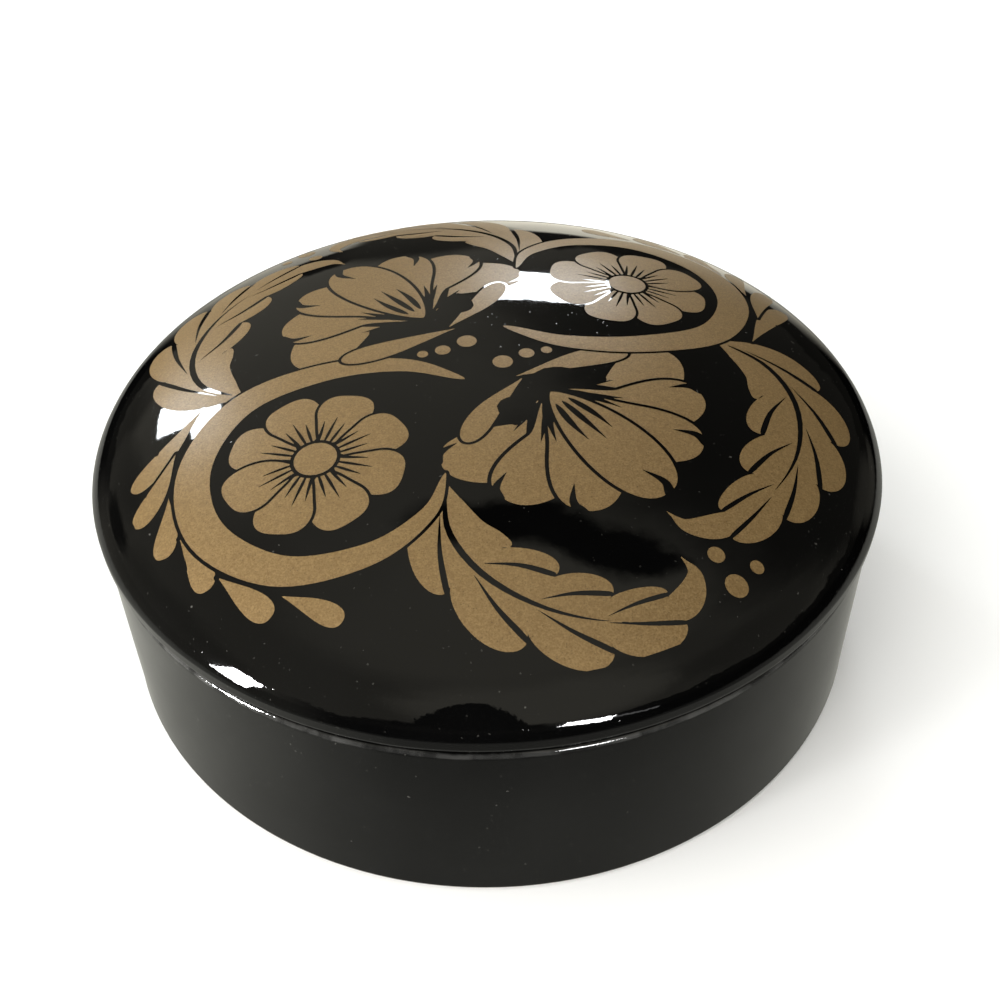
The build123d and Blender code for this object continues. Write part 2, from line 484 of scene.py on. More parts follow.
def leaf(pl, spine, width, lobes=(4, 4), ratio=(1.0, 1.0), bulge=0.34, slit=0.80, a=0.62, b=1.15, gap=GAP, rib=0.72, cut=0.85, first=0.05, plain=0):
    """An acanthus leaf in one piece: lobed edges, and tapering slits that run in from between the lobes."""
    line = curve(spine, 160)
    nn, dd = normals(line)
    L = np.hypot(*np.diff(line, axis=0).T).sum()

    def at(t):
        k = np.clip(t, 0, 1) * 159
        i = int(k)
        j = min(i + 1, 159)
        w = k - i
        return line[i] * (1 - w) + line[j] * w, nn[i] * (1 - w) + nn[j] * w, dd[i] * (1 - w) + dd[j] * w

    def half(t, s):
        return width / 2 * swell(t, a, b) * ratio[0 if s > 0 else 1]

    edge, slits = [], []
    for s, n in ((1, lobes[0]), (-1, lobes[1])):
        side = [line[0]]
        ts = first + (0.98 - first) * (np.linspace(0, 1, n + 1) ** 0.86)
        for i in range(n):
            step = ts[i + 1] - ts[i]
            for v in np.linspace(0, 1, 20, endpoint=False):
                t = ts[i] + step * v
                p, m, d = at(t)
                e = math.sin(math.pi * v ** 1.12) ** 0.74
                side.append(p + m * s * half(t, s) * (1 - bulge + 1.55 * bulge * e) + d * e * v * step * L * (0.36 if i < n - 1 else 0.10))
            if i > (s == plain):
                p, m, d = at(ts[i])
                q, m2, _ = at(ts[i] - 0.13 - 0.35 * step)
                h = half(ts[i], s)
                o = p + m * s * h * (1.02 - bulge * 0.55) + d * step * L * 0.06
                e = q + m2 * s * h * (1 - slit) * 0.55
                c = (o + e) / 2 + m * s * h * 0.10
                slits.append((o, c, e, cut * (0.55 + 0.06 * h)))
        edge.append(np.array(side + [line[-1]]))
    pl.add(np.vstack([edge[0], edge[1][::-1]]), gap)
    for o, c, e, w in slits:
        pl.cut(blade([o, c, e], w, 0.22, 1.15))
    if rib:
        k = int(159 * rib)
        pl.cut(blade(line[6:k][::8], 0.45 + 0.030 * width, 0.55, 1.2))

def drawn():
    """Two rosettes in volutes and two lotus palmettes about the middle, the same after half a turn."""
    P = Print()
    stem = [(2.6, -23.4), (4.0, -29.6), (10.2, -35.4), (20.6, -37.2), (30.6, -31.4), (34.6, -21.0), (31.0, -10.2), (21.0, -4.6), (10.5, -3.4), (2.0, -6.2)]
    for ang in (6, 186):
        pl = Place(P, (0, 0), ang)
        # acanthus leaves that run along the rim, back from the volute
        leaf(pl, [(31, -8.6), (38.0, -4.6), (41.4, 3.0), (40.6, 12.6), (36.4, 21.0), (31.6, 26.4), (26.6, 28.0), (23.6, 26.2)], 13.8, (5, 6), ratio=(0.88, 0.84), plain=1)
        # and on from its end to the front
        leaf(pl, [(2.4, -25), (1.4, -32.0), (-3.4, -37.8), (-11, -41.2), (-19.4, -41.4), (-25.4, -38.4), (-27.0, -34.6), (-25.2, -32.2)], 12.0, (5, 5), ratio=(0.92, 0.90), plain=-1)
        # lotus
        q = Place(P, pl.map([(-9.2, -8.0)])[0], ang + 137)
        petal_fan(q, 7, 71, 21.5, 9.4, gap=0.5, bow=0.20)
    for ang in (6, 186):
        pl = Place(P, (0, 0), ang)
        # calyx under the lotus
        comma(pl, (-19.0, 2.2), (-12.6, -0.6), (-4.2, -5.4), 3.6, blunt=0.5)
        comma(pl, (0.8, -18.2), (-1.6, -12.2), (-5.6, -5.2), 3.4, blunt=0.5)
        # strokes on the outer side of the volute
        for hd, vi, tl, w in (((42.4, -23.0), (39.4, -17.6), (36.4, -9.8), 3.3), ((40.4, -28.6), (38.8, -23.6), (38.0, -17.6), 3.2),
                              ((35.6, -33.8), (36.0, -29.4), (37.0, -25.0), 3.0), ((28.8, -38.8), (30.8, -35.4), (34.0, -31.4), 3.0),
                              ((20.4, -42.8), (23.4, -40.6), (27.9, -37.3), 3.0), ((12.0, -43.6), (15.4, -42.0), (19.8, -40.3), 2.7)):
            comma(pl, hd, vi, tl, w)
        pl.add(blade(stem, 4.6, 0.62, 0.55, n=110))
        # berries where the stem ends, and between the leaves by the rim
        for c, q in (((-2.6, -2.2), 1.35), ((-5.6, 0.0), 1.05), ((-8.2, 1.0), 0.75), ((-31.8, -34.6), 1.4), ((-29.5, -31.2), 1.05), ((-34.3, -31.6), 0.85)):
            pl.add(oval(c, q))
        r = Place(P, pl.map([(19, -21.0)])[0], ang + 12)
        rosette(r, 8, 2.4, 11.6, 7.2, 2.7, gap=0.5)
    P.within(49.6)
    P.f = P.f[:, ::-1].copy()
    return P


# ---- the printed ornament becomes a thin layer on the dome ---------------------
def outlines(f):
    """Closed outlines of f = 0 in mm, with gold on their left."""
    s = f > 0
    n = f.shape[0]
    ids = {}
    pts = []

    def cross(i0, j0, i1, j1):
        t = f[i0, j0] / (f[i0, j0] - f[i1, j1])
        return AX[j0] + (AX[j1] - AX[j0]) * t, AX[i0] + (AX[i1] - AX[i0]) * t

    def point(kind, i, j):
        key = (kind, i, j)
        if key not in ids:
            ids[key] = len(pts)
            pts.append(cross(i, j, i, j + 1) if kind == "h" else cross(i, j, i + 1, j))
        return ids[key]

    code = s[:-1, :-1] + 2 * s[:-1, 1:] + 4 * s[1:, 1:] + 8 * s[1:, :-1]
    way = {1: "BL", 2: "RB", 4: "TR", 8: "LT", 3: "RL", 6: "TB", 12: "LR", 9: "BT",
           7: "TL", 14: "LB", 13: "BR", 11: "RT", 5: "BLTR", 10: "RBLT"}
    after = {}
    for i, j in np.argwhere((code > 0) & (code < 15)):
        side = {"B": ("h", i, j), "T": ("h", i + 1, j), "L": ("v", i, j), "R": ("v", i, j + 1)}
        w = way[int(code[i, j])]
        for k in range(0, len(w), 2):
            after[point(*side[w[k]])] = point(*side[w[k + 1]])
    loops, seen = [], set()
    for a in list(after):
        if a in seen:
            continue
        loop = []
        while a not in seen:
            seen.add(a)
            loop.append(pts[a])
            a = after[a]
        loops.append(np.array(loop))
    return loops


def thin(loop, tol):
    """Leaves out points of a closed line that lie within tol of the rest."""
    n = len(loop)
    far = int(np.argmax(np.hypot(*(loop - loop[0]).T)))
    keep = {0, far}
    work = [(0, far), (far, n)]
    ring = np.vstack([loop, loop[:1]])
    while work:
        a, b = work.pop()
        if b - a < 2:
            continue
        p, q = ring[a], ring[b]
        m = ring[a + 1:b]
        e = q - p
        L = max(float(e @ e), 1e-12)
        t = np.clip(((m - p) @ e) / L, 0, 1)
        d = np.hypot(*(m - p - t[:, None] * e).T)
        k = int(np.argmax(d))
        if d[k] > tol:
            k += a + 1
            keep.add(k)
            work += [(a, k), (k, b)]
    return ring[sorted(keep)]


def field_at(f, x, y):
    u = np.clip((x + HALF) / STEP, 0, NG - 1.001)
    v = np.clip((y + HALF) / STEP, 0, NG - 1.001)
    j, i = u.astype(int), v.astype(int)
    a, b = u - j, v - i
    return (f[i, j] * (1 - a) * (1 - b) + f[i, j + 1] * a * (1 - b)
            + f[i + 1, j] * (1 - a) * b + f[i + 1, j + 1] * a * b)


def fill_points(f):
    """Points inside the gold, closer together where the dome turns down."""
    out = []
    for r0, r1, h in ((0, 38, 1.7), (38, 45, 1.2), (45, 47.5, 0.8), (47.5, 50.5, 0.55)):
        k = int(r1 / (h * 0.866)) + 2
        for a in range(-k, k + 1):
            y = a * h * 0.866
            x = (np.arange(-k, k + 1) + 0.5 * (a % 2)) * h
            m = (np.hypot(x, y) >= r0) & (np.hypot(x, y) < r1)
            x = x[m]
            if len(x):
                m = field_at(f, x, np.full(len(x), y)) > 0.4 * h
                out += [(float(q), y) for q in x[m]]
    return out


def inside_even(loops, px, py):
    order = np.argsort(py)
    sx, sy = px[order], py[order]
    flip = np.zeros(len(px), bool)
    for loop in loops:
        nxt = np.roll(loop, -1, axis=0)
        for (ax, ay), (bx, by) in zip(loop, nxt):
            if ay == by:
                continue
            lo, hi = np.searchsorted(sy, (min(ay, by), max(ay, by)), side="right")
            if hi > lo:
                w = slice(lo, hi)
                flip[w] ^= sx[w] < (bx - ax) * (sy[w] - ay) / (by - ay) + ax
    out = np.zeros(len(px), bool)
    out[order] = flip
    return out


PRINT_UP = 0.018      # the ink stands this far above the glaze
PRINT_DOWN = 0.05     # and its underside lies below it


def print_mesh(f):
    loops = [thin(c, 0.012) for c in outlines(f) if len(c) > 12]
    loops = [c for c in loops if len(c) >= 4]
    verts, edges = [], []
    for c in loops:
        k = len(verts)
        verts += [Vector((float(x), float(y))) for x, y in c]
        edges += [(k + i, k + (i + 1) % len(c)) for i in range(len(c))]
    verts += [Vector(p) for p in fill_points(f)]
    vs, _, fs, *_ = delaunay_2d_cdt(verts, edges, [], 0, 1e-5)
    P = np.array([(v.x, v.y) for v in vs])
    T = np.array([t for t in fs if len(t) == 3])
    c = P[T].mean(1)
    T = T[inside_even(loops, c[:, 0], c[:, 1])]
    a, b, d = P[T[:, 0]], P[T[:, 1]], P[T[:, 2]]
    turn = (b - a)[:, 0] * (d - a)[:, 1] - (b - a)[:, 1] * (d - a)[:, 0]
    T[turn < 0] = T[turn < 0][:, ::-1]
    T = T[np.abs(turn) > 1e-9]
    used = np.unique(T)
    new = np.full(len(P), -1)
    new[used] = np.arange(len(used))
    P, T = P[used], new[T]
    n = len(P)
    base, nor = on_dome(P[:, 0], P[:, 1])
    top, low = base + nor * PRINT_UP, base - nor * PRINT_DOWN
    half = {}
    for t in T:
        for k in range(3):
            half[(int(t[k]), int(t[(k + 1) % 3]))] = True
    rim = [e for e in half if (e[1], e[0]) not in half]
    faces = [tuple(int(q) for q in t) for t in T]
    faces += [(int(t[0]) + n, int(t[2]) + n, int(t[1]) + n) for t in T]
    faces += [(a + n, b + n, b, a) for a, b in rim]
    me = bpy.data.meshes.new("lid_print")
    me.from_pydata([tuple(p * MM) for p in np.vstack([top, low])], [], faces)
    me.update()
    for p in me.polygons:
        p.use_smooth = True
    # the top is shaded as the dome is, and the side walls face outwards
    loop_n = np.zeros((len(me.loops), 3))
    k = 0
    for face in faces:
        if len(face) == 3:
            sign = 1.0 if face[0] < n else -1.0
            for q in face:
                loop_n[k] = nor[q % n] * sign
                k += 1
        else:
            p, q = P[face[2]], P[face[3]]
            w = np.array([-(p - q)[1], (p - q)[0], 0.0])
            w /= max(np.linalg.norm(w), 1e-9)
            for _ in face:
                loop_n[k] = w
                k += 1
    me.normals_split_custom_set([tuple(v) for v in loop_n])
    print("print:", len(loops), "outlines,", n, "points,", len(T), "top faces, largest r %.2f" % np.hypot(*P.T).max(),
          "highest %.3f" % top[:, 2].max())
    return me


# ---- node helpers --------------------------------------------------------------
class Tree:
    def __init__(self, tree):
        self.t = tree
        tree.nodes.clear()

    def node(self, kind, **settings):
        n = self.t.nodes.new(kind)
        for k, v in settings.items():
            setattr(n, k, v)
        return n

    def put(self, socket, value):
        if isinstance(value, bpy.types.NodeSocket):
            self.t.links.new(value, socket)
        elif value is not None:
            socket.default_value = value

    def math(self, op, *args, clamp=False):
        n = self.node("ShaderNodeMath", operation=op, use_clamp=clamp)
        for s, a in zip(n.inputs, args):
            self.put(s, a)
        return n.outputs[0]

    def vec(self, op, *args):
        n = self.node("ShaderNodeVectorMath", operation=op)
        for s, a in zip(n.inputs, args):
            self.put(s, a)
        return n.outputs["Value" if op in ("DOT_PRODUCT", "LENGTH", "DISTANCE") else "Vector"]

    def step(self, value, lo, hi, a=0.0, b=1.0, kind="SMOOTHSTEP"):
        n = self.node("ShaderNodeMapRange", interpolation_type=kind)
        for s, v in zip(n.inputs, (value, lo, hi, a, b)):
            self.put(s, v)
        return n.outputs[0]

    def mix(self, fac, a, b):
        n = self.node("ShaderNodeMix", data_type="RGBA")
        self.put(n.inputs[0], fac)
        self.put(n.inputs[6], a)
        self.put(n.inputs[7], b)
        return n.outputs[2]

    def blend(self, fac, a, b):
        n = self.node("ShaderNodeMix", data_type="FLOAT")
        self.put(n.inputs[0], fac)
        self.put(n.inputs[2], a)
        self.put(n.inputs[3], b)
        return n.outputs[0]

    def noise(self, co, scale, detail=2.0, rough=0.5, dist=0.0, w=None):
        n = self.node("ShaderNodeTexNoise", noise_dimensions="3D")
        self.put(n.inputs["Vector"], co)
        n.inputs["Scale"].default_value = scale
        n.inputs["Detail"].default_value = detail
        n.inputs["Roughness"].default_value = rough
        n.inputs["Distortion"].default_value = dist
        return n.outputs["Fac"]

    def voronoi(self, co, scale, rand=1.0, feature="F1"):
        n = self.node("ShaderNodeTexVoronoi", voronoi_dimensions="3D", feature=feature)
        self.put(n.inputs["Vector"], co)
        n.inputs["Scale"].default_value = scale
        n.inputs["Randomness"].default_value = rand
        return n.outputs["Distance"], (n.outputs["Color"] if feature == "F1" else None)

    def bump(self, height, distance, strength=1.0, normal=None):
        n = self.node("ShaderNodeBump")
        n.inputs["Strength"].default_value = strength
        n.inputs["Distance"].default_value = distance
        self.put(n.inputs["Height"], height)
        if normal is not None:
            self.put(n.inputs["Normal"], normal)
        return n.outputs[0]


def material(name):
    m = bpy.data.materials.new(name)
    m.use_nodes = True
    t = Tree(m.node_tree)
    out = t.node("ShaderNodeOutputMaterial")
    p = t.node("ShaderNodeBsdfPrincipled")
    m.node_tree.links.new(p.outputs[0], out.inputs[0])
    co = t.node("ShaderNodeTexCoord").outputs["Object"]
    return m, t, p, co


def rgb(r, g, b):
    """An sRGB colour, 0 to 255, as linear RGBA."""
    c = [v / 255 for v in (r, g, b)]
    return tuple(v / 12.92 if v <= 0.04045 else ((v + 0.055) / 1.055) ** 2.4 for v in c) + (1.0,)


# ---- materials -----------------------------------------------------------------
def dust(t, co, scale, share, size, seed):
    """Sparse specks: about one in 1/share cells of 1/scale metres holds one, each of its own size."""
    shift = t.vec("ADD", co, (seed, seed * 1.7, seed * 0.6))
    d, c = t.voronoi(shift, scale)
    sep = t.node("ShaderNodeSeparateColor")
    t.put(sep.inputs[0], c)
    there = t.math("GREATER_THAN", sep.outputs[0], 1.0 - share)
    r = t.math("MULTIPLY", t.math("ADD", sep.outputs[1], 0.35), size)
    spot = t.step(d, r, t.math("MULTIPLY", r, 0.5), 0.0, 1.0)
    return t.math("MULTIPLY", t.math("MULTIPLY", spot, there), t.math("ADD", t.math("MULTIPLY", sep.outputs[2], 0.7), 0.3))


def glaze(name, base, rough, ior, bare_lo, bare_hi, bare_rag, wave, peel, worn_and_highlight, brink):
    m, t, p, co = material(name)
    sep = t.node("ShaderNodeSeparateXYZ")
    t.put(sep.inputs[0], co)
    z = sep.outputs[2]
    # specks of dust and short fibres on the glaze
    crumb = t.node("ShaderNodeTexNoise", noise_dimensions="3D")
    t.put(crumb.inputs["Vector"], co)
    crumb.inputs["Scale"].default_value = 2600.0
    crumb.inputs["Detail"].default_value = 2.0
    rag = t.vec("ADD", co, t.vec("MULTIPLY", t.vec("SUBTRACT", crumb.outputs["Color"], (0.5, 0.5, 0.5)), (0.00035, 0.00035, 0.00035)))
    specks = t.math("MAXIMUM", dust(t, rag, 420.0, 0.10, 0.075, 0.013), dust(t, rag, 900.0, 0.10, 0.13, 0.27))
    specks = t.math("MAXIMUM", specks, t.math("MULTIPLY", dust(t, rag, 1700.0, 0.13, 0.20, 0.41), 0.5))
    long = t.vec("MULTIPLY", co, (1.0, 0.16, 1.0))
    turned = t.node("ShaderNodeVectorRotate", rotation_type="Z_AXIS")
    t.put(turned.inputs["Vector"], co)
    turned.inputs["Angle"].default_value = 0.9
    long2 = t.vec("MULTIPLY", turned.outputs[0], (0.14, 1.0, 1.0))
    hairs = t.math("MAXIMUM", dust(t, long, 800.0, 0.018, 0.085, 0.51), dust(t, long2, 760.0, 0.015, 0.085, 0.83))
    marks = t.math("MAXIMUM", specks, t.math("MULTIPLY", hairs, 0.7))
    faint = t.noise(co, 60.0, 3.0, 0.55)
    tone = t.mix(t.step(faint, 0.3, 0.7), base, tuple(v * 1.5 for v in base[:3]) + (1.0,))
    tone = t.mix(t.math("MULTIPLY", marks, 0.16), tone, rgb(150, 148, 140))
    # the glaze runs thin over a rounded edge and the clay greys it there, more in some places than others; this lighter
    # band is also a painted highlight, standing for the highlight line along the edge
    lo, hi, colour, most = worn_and_highlight
    streak = t.noise(t.vec("MULTIPLY", co, (1.0, 1.0, 0.35)), 260.0, 3.0, 0.6)
    patchy = t.noise(co, 34.0, 2.0, 0.5)
    z2 = t.math("ADD", z, t.math("MULTIPLY", t.math("SUBTRACT", t.noise(co, 170.0, 4.0, 0.65), 0.5), 0.00060))
    ramp = (hi - lo) * 0.38
    thin_glaze_highlight_band = t.math("MULTIPLY", t.step(z2, lo, lo + ramp), t.step(z2, hi, hi - ramp))
    thin_glaze_highlight_band = t.math("MULTIPLY", thin_glaze_highlight_band, t.step(streak, 0.36, 0.62, 0.30, 1.0))
    thin_glaze_highlight_band = t.math("MULTIPLY", thin_glaze_highlight_band, t.step(patchy, 0.38, 0.60, 0.35, 1.0))
    tone = t.mix(t.math("MULTIPLY", thin_glaze_highlight_band, most), tone, colour)
    # the biscuit shows on the ring that the piece was fired on
    ragged = t.math("MULTIPLY", t.math("SUBTRACT", t.noise(co, 900.0, 4.0, 0.6), 0.5), bare_rag)
    level = t.math("ADD", z, ragged)
    bare = t.step(level, bare_hi, bare_lo, 0.0, 1.0)
    grain = t.noise(co, 5200.0, 3.0, 0.7)
    clay = t.mix(grain, rgb(176, 160, 138), rgb(206, 194, 176))
    t.put(p.inputs["Base Color"], t.mix(bare, tone, clay))
    smear = t.noise(co, 38.0, 4.0, 0.6, 0.4)
    r = t.blend(t.step(smear, 0.35, 0.75), rough, rough * 1.6 + 0.012)
    r = t.blend(t.math("MULTIPLY", marks, 0.35), r, 0.6)
    t.put(p.inputs["Roughness"], t.blend(bare, r, 0.88))
    p.inputs["IOR"].default_value = ior
    # slow waves and a fine skin in the glaze, and a fine texture where it is bare
    n1 = t.bump(t.noise(co, 85.0, 2.0, 0.45), wave)
    # the skin is livelier where the glaze gathers on the turn of the rim
    at_rim = t.step(z, brink[0], brink[1], 1.0, brink[2])
    n1 = t.bump(t.math("MULTIPLY", t.noise(co, 800.0, 3.0, 0.5), at_rim), peel, 1.0, n1)
    h2 = t.math("MULTIPLY", t.noise(co, 3800.0, 3.0, 0.65), bare)
    n2 = t.bump(h2, 0.00012, 1.0, n1)
    n2 = t.bump(t.math("MULTIPLY", thin_glaze_highlight_band, t.noise(co, 1300.0, 3.0, 0.65)), 0.00006, 1.0, n2)
    t.put(p.inputs["Normal"], t.bump(marks, 0.00001, 1.0, n2))
    return m


def gold_print():
    m, t, p, co = material("gold_print")
    fine = t.noise(co, 4200.0, 3.0, 0.75)
    mid = t.noise(co, 1500.0, 2.0, 0.6)
    slow = t.noise(co, 40.0, 2.0, 0.5)
    d, c = t.voronoi(co, 3600.0)
    sep = t.node("ShaderNodeSeparateColor")
    t.put(sep.inputs[0], c)
    pit = t.math("MULTIPLY", t.math("GREATER_THAN", sep.outputs[0], 0.80), t.step(d, 0.42, 0.16))
    tone = t.mix(t.step(fine, 0.30, 0.70), rgb(112, 86, 46), rgb(151, 126, 84))
    tone = t.mix(t.math("MULTIPLY", t.step(mid, 0.42, 0.68), 0.35), tone, rgb(112, 87, 50))
    tone = t.mix(t.math("MULTIPLY", t.step(slow, 0.3, 0.7), 0.15), tone, rgb(144, 120, 82))
    tone = t.mix(t.math("MULTIPLY", pit, 0.45), tone, rgb(58, 42, 24))
    t.put(p.inputs["Base Color"], tone)
    p.inputs["Metallic"].default_value = 0.65
    p.inputs["Coat Weight"].default_value = 0.50
    p.inputs["Coat Roughness"].default_value = 0.30
    t.put(p.inputs["Roughness"], t.step(fine, 0.2, 0.8, 0.58, 0.70))
    p.inputs["IOR"].default_value = 1.5
    h = t.math("ADD", t.math("MULTIPLY", fine, 0.6), t.math("MULTIPLY", mid, 0.4))
    t.put(p.inputs["Normal"], t.bump(h, 0.00003))
    return m


def cover(obj, mat):
    for i in range(max(len(obj.data.materials), 1)):
        if len(obj.data.materials) == 0:
            obj.data.materials.append(mat)
        else:
            obj.data.materials[i] = mat


BLACK = (0.0008, 0.0008, 0.0008, 1.0)
# the worn tuple of each glaze also sets a painted highlight line: the dish's on the turn of its rim, the lid's on the
# lower edge of its lip
dish_mat = glaze("dish_glaze", BLACK, 0.05, 1.5, 0.00002, 0.00022, 0.0001, 0.00005, 0.0000034,
                 (0.02645, 0.02728, (0.050, 0.0495, 0.047, 1.0), 1.0), (0.0253, 0.0264, 3.0))
lid_mat = glaze("lid_glaze", BLACK, 0.02, 1.5, 0.02475, 0.0251, 0.0003, 0.00001, 0.0000024,
                (0.02822, 0.0287, (0.052, 0.0515, 0.0485, 1.0), 1.0), (0.0370, 0.0325, 5.0))
for ob, mat in ((dish, dish_mat), (dish_shell, dish_mat), (lid, lid_mat), (lid_shell, lid_mat)):
    cover(ob, mat)

mesh = print_mesh(drawn().f)
ink = bpy.data.objects.new("lid_print", mesh)
scene.collection.objects.link(ink)
mesh.materials.append(gold_print())
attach(ink, "lid")


# ---- floor ---------------------------------------------------------------------
def floor_mesh(radius, rings=24, spokes=128):
    verts, faces = [(0.0, 0.0, 0.0)], []
    for i in range(1, rings + 1):
        for k in range(spokes):
            a = 2 * math.pi * k / spokes
            verts.append((radius * i / rings * math.cos(a), radius * i / rings * math.sin(a), 0.0))
    for k in range(spokes):
        faces.append((0, 1 + k, 1 + (k + 1) % spokes))
    for i in range(rings - 1):
        for k in range(spokes):
            a, b = 1 + i * spokes + k, 1 + i * spokes + (k + 1) % spokes
            faces.append((a, a + spokes, b + spokes, b))
    me = bpy.data.meshes.new("floor")
    me.from_pydata(verts, [], faces)
    me.update()
    return me


floor = bpy.data.objects.new("floor", floor_mesh(0.62))
floor.location.z = -0.00002
scene.collection.objects.link(floor)
fm, ft, fp, fco = material("floor_paper")
soft = ft.noise(fco, 9.0, 2.0, 0.5)
ft.put(fp.inputs["Base Color"], ft.mix(soft, (0.88, 0.88, 0.875, 1), (0.91, 0.91, 0.905, 1)))
fp.inputs["Roughness"].default_value = 0.95
fp.inputs["Specular IOR Level"].default_value = 0.0
# in a glossy reflection the paper is not lit but glows with painted light: a small dim disc round the box,
# with painted shade in front where the box's shadow falls, and past it the reflection goes on to the dark room
at = ft.vec("MULTIPLY", fco, (1000.0, 1000.0, 0.0))
far = ft.vec("LENGTH", at)
fsep = ft.node("ShaderNodeSeparateXYZ")
ft.put(fsep.inputs[0], at)
fx, fy = fsep.outputs[0], fsep.outputs[1]
fl = ft.math("MINIMUM", ft.math("MAXIMUM", ft.math("MULTIPLY", fx, -1.0), 0.0), 60.0)
fr = ft.math("MINIMUM", ft.math("MAXIMUM", fx, 0.0), 60.0)
front = ft.math("DIVIDE", ft.math("MULTIPLY", fy, -1.0), ft.math("MAXIMUM", far, 1.0))
painted_glow = ft.math("ADD", 0.153, ft.step(far, 80.0, 62.0, 0.0, 0.075))
# painted light: the reflected paper is brighter to the left of the box, and less so to the right
more = ft.math("MULTIPLY", ft.math("MULTIPLY", ft.math("MULTIPLY", fl, fl), 0.95e-4), ft.step(far, 70.0, 125.0, 1.0, 0.55))
painted_glow = ft.math("ADD", painted_glow, more)
more = ft.math("MULTIPLY", ft.math("MULTIPLY", ft.math("MULTIPLY", fr, fr), 4.0e-5), ft.step(front, 0.75, 0.05, 0.5, 1.0))
painted_glow = ft.math("ADD", painted_glow, more)
# painted shade: in front of the box, past about 85 mm, the reflected paper is darker, as in the box's shadow
front_shade_zone = ft.math("MULTIPLY", ft.step(far, 83.0, 88.5), ft.step(front, 0.45, 0.75))
painted_front_shade = ft.math("ADD", 0.27, ft.step(ft.math("ABSOLUTE", fx), 10.0, 42.0, 0.0, 0.20))
painted_glow = ft.math("MULTIPLY", painted_glow, ft.math("SUBTRACT", 1.0, ft.math("MULTIPLY", front_shade_zone, painted_front_shade)))
painted_glow = ft.math("MULTIPLY", painted_glow, ft.step(ft.noise(at, 0.030, 3.0, 0.55), 0.25, 0.75, 0.86, 1.14, "LINEAR"))
fringe = ft.math("ADD", far, ft.math("MULTIPLY", ft.math("SUBTRACT", ft.noise(at, 0.03, 2.0, 0.5), 0.5), 26.0))
reach = ft.step(front, 0.55, 0.97, 146.0, 116.0)
behind = ft.math("DIVIDE", ft.math("ADD", ft.math("MULTIPLY", fx, -0.67), ft.math("MULTIPLY", fy, 0.74)), ft.math("MAXIMUM", far, 1.0))
reach = ft.math("ADD", reach, ft.step(behind, 0.88, 0.99, 0.0, 28.0))
inside = ft.step(fringe, ft.math("SUBTRACT", reach, 14.0), ft.math("ADD", reach, 14.0), 1.0, 0.0)
# the emission that paints the paper's light and shade in glossy reflections
lit = ft.node("ShaderNodeEmission")
ft.put(lit.inputs["Strength"], painted_glow)
lit.inputs["Color"].default_value = (1.0, 0.995, 0.89, 1.0)
clear = ft.node("ShaderNodeBsdfTransparent")
disc = ft.node("ShaderNodeMixShader")
ft.put(disc.inputs[0], inside)
ft.put(disc.inputs[1], clear.outputs[0])
ft.put(disc.inputs[2], lit.outputs[0])
pick = ft.node("ShaderNodeMixShader")
ft.put(pick.inputs[0], ft.node("ShaderNodeLightPath").outputs["Is Glossy Ray"])
ft.put(pick.inputs[1], fp.outputs[0])
ft.put(pick.inputs[2], disc.outputs[0])
fout = [n for n in fm.node_tree.nodes if n.type == "OUTPUT_MATERIAL"][0]
ft.put(fout.inputs[0], pick.outputs[0])
floor.data.materials.append(fm)


# ---- light ---------------------------------------------------------------------
def aim(az, el):
    """Unit vector at az degrees from +Y towards +X, el degrees up."""
    a, e = math.radians(az), math.radians(el)
    return Vector((math.sin(a) * math.cos(e), math.cos(a) * math.cos(e), math.sin(e)))


TARGET = Vector((0, 0, 0.035))


def panel(name, az, el, wide, high, radiance, far=2.0, colour=(1, 1, 1), roll=0.0, glossy=True):
    """A flat soft light seen from the box at az, el, wide and high in degrees."""
    d = aim(az, el)
    w = 2 * far * math.tan(math.radians(wide / 2))
    h = 2 * far * math.tan(math.radians(high / 2))
    data = bpy.data.lights.new(name, "AREA")
    data.shape = "RECTANGLE"
    data.size, data.size_y = w, h
    data.energy = radiance * math.pi * w * h
    data.color = colour
    ob = bpy.data.objects.new(name, data)
    ob.location = TARGET + d * far
    ob.rotation_euler = (d.to_track_quat("Z", "Y").to_matrix() @ Matrix.Rotation(math.radians(roll), 3, "Z")).to_euler()
    ob.visible_camera = False
    ob.visible_glossy = glossy
    scene.collection.objects.link(ob)
    return ob


panel("back_window", 6.3, 21.8, 11.6, 7.0, 21.0, colour=(0.93, 0.97, 1.0), roll=3.0)
panel("left_window", -34.8, 28.9, 4.6, 8.6, 24.0, colour=(0.93, 0.98, 1.0), roll=-28.0)
panel("left_window_far", -38.4, 24.8, 6.0, 5.4, 24.0, colour=(0.93, 0.98, 1.0), roll=-44.0)
panel("left_window_sill", -30.2, 27.8, 0.9, 5.6, 2.2, colour=(0.95, 0.98, 1.0), roll=-8.0)
panel("side_window", -117.3, -0.9, 9.2, 17.0, 185.0, roll=-20.0)
panel("low_window", 158.3, 3.6, 12.0, 5.2, 90.0, roll=-20.0)
panel("low_strip", 146.5, -0.5, 11.5, 2.0, 1.4, roll=-24.0)
panel("overhead", -100.0, 70.0, 110.0, 110.0, 1.05, far=1.4, colour=(0.97, 0.985, 1.0), glossy=False)
panel("soft_left", -118.0, 34.0, 60.0, 50.0, 2.6, far=1.4, colour=(1.0, 0.985, 0.96), glossy=False)

